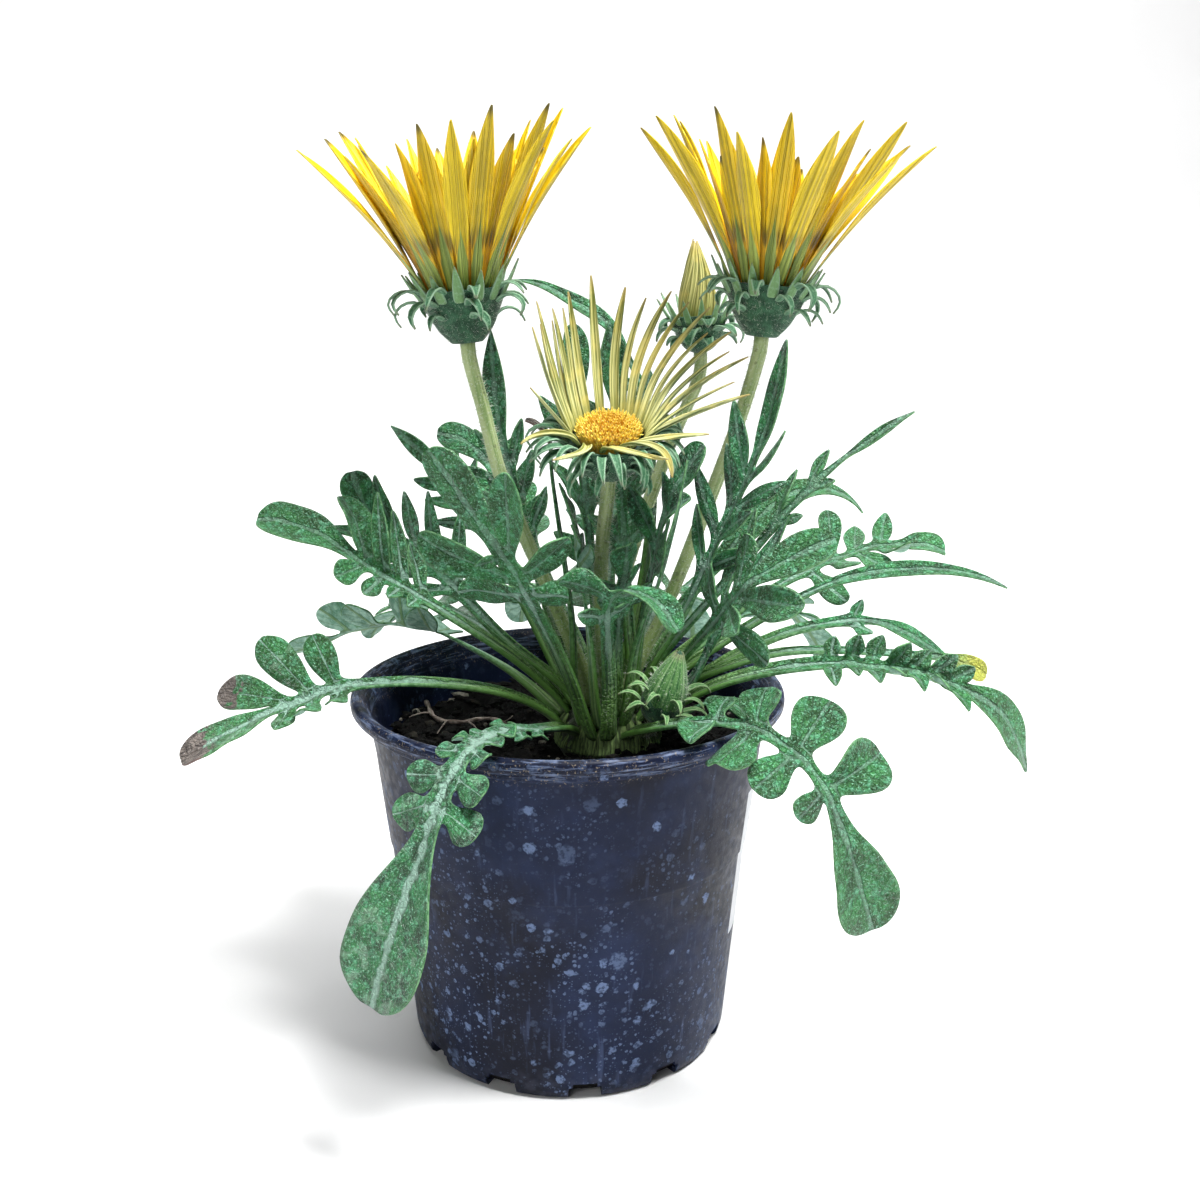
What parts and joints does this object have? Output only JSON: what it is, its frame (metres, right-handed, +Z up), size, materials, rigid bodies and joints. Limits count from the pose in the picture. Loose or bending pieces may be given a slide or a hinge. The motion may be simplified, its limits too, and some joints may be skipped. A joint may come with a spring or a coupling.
{
  "type": "gazania in a nursery pot",
  "caption": "Flowering gazania with lobed leaves, yellow blooms, a faded bloom and buds on hairy stalks, in a round tapered nursery pot of soil.",
  "frame": {"origin": "centre of the pot's foot, on the flat face that it stands on", "axes": "+Z up along the pot's axis, -Y towards the viewer, +X to the viewer's right"},
  "size_m": [0.224, 0.1741, 0.2555],
  "materials": {
    "pot_plastic": "matt, with dried water marks",
    "potting_soil": "rough and moist",
    "crown_sheath": "matt",
    "dry_root_bark": "matt",
    "stem_skin": "hairy",
    "bract_green": "woolly",
    "ray_yellow": "satin",
    "ray_straw": "matt",
    "disc_orange": "matt",
    "leaf_blade": "matt, finely hairy"
  },
  "bodies": {
    "root": {"closed_bud_involucre": "bract_green", "closed_bud_rays": "ray_straw", "crown": "crown_sheath", "dry_root": "dry_root_bark", "faded_disc": "disc_orange", "faded_involucre": "bract_green", "faded_rays": "ray_straw", "leaf_back_arching": "leaf_blade", "leaf_back_left": "leaf_blade", "leaf_back_left_low": "leaf_blade", "leaf_back_lobed_right": "leaf_blade", "leaf_back_right": "leaf_blade", "leaf_back_right_low": "leaf_blade", "leaf_back_strap_right": "leaf_blade", "leaf_back_upright": "leaf_blade", "leaf_back_upright_left": "leaf_blade", "leaf_behind_left": "leaf_blade", "leaf_behind_left_of_middle": "leaf_blade", "leaf_behind_right_of_middle": "leaf_blade", "leaf_beside_left_stem": "leaf_blade", "leaf_centre_front": "leaf_blade", "leaf_centre_left": "leaf_blade", "leaf_far_left": "leaf_blade", "leaf_front_left": "leaf_blade", "leaf_front_right": "leaf_blade", "leaf_left_back": "leaf_blade", "leaf_left_low": "leaf_blade", "leaf_pale_under_middle": "leaf_blade", "leaf_right_arch_mid": "leaf_blade", "leaf_right_arch_thin": "leaf_blade", "leaf_right_centre": "leaf_blade", "leaf_right_long": "leaf_blade", "leaf_right_long_thin": "leaf_blade", "leaf_right_low_small": "leaf_blade", "leaf_right_strap": "leaf_blade", "leaf_right_tall": "leaf_blade", "leaf_right_under_middle": "leaf_blade", "leaf_right_yellow_tip": "leaf_blade", "leaf_strap_under_middle": "leaf_blade", "leaf_thin_upper_left": "leaf_blade", "leaf_upper_left": "leaf_blade", "leaf_upright_in_front": "leaf_blade", "leaf_withered_tip": "leaf_blade", "left_disc": "disc_orange", "left_involucre": "bract_green", "left_rays": "ray_yellow", "pot": "pot_plastic", "right_disc": "disc_orange", "right_involucre": "bract_green", "right_rays": "ray_yellow", "soil": "potting_soil", "stem_closed_bud": "stem_skin", "stem_faded": "stem_skin", "stem_left": "stem_skin", "stem_right": "stem_skin", "stem_young_bud": "stem_skin", "young_bud": "bract_green"}
  },
  "joints": []
}
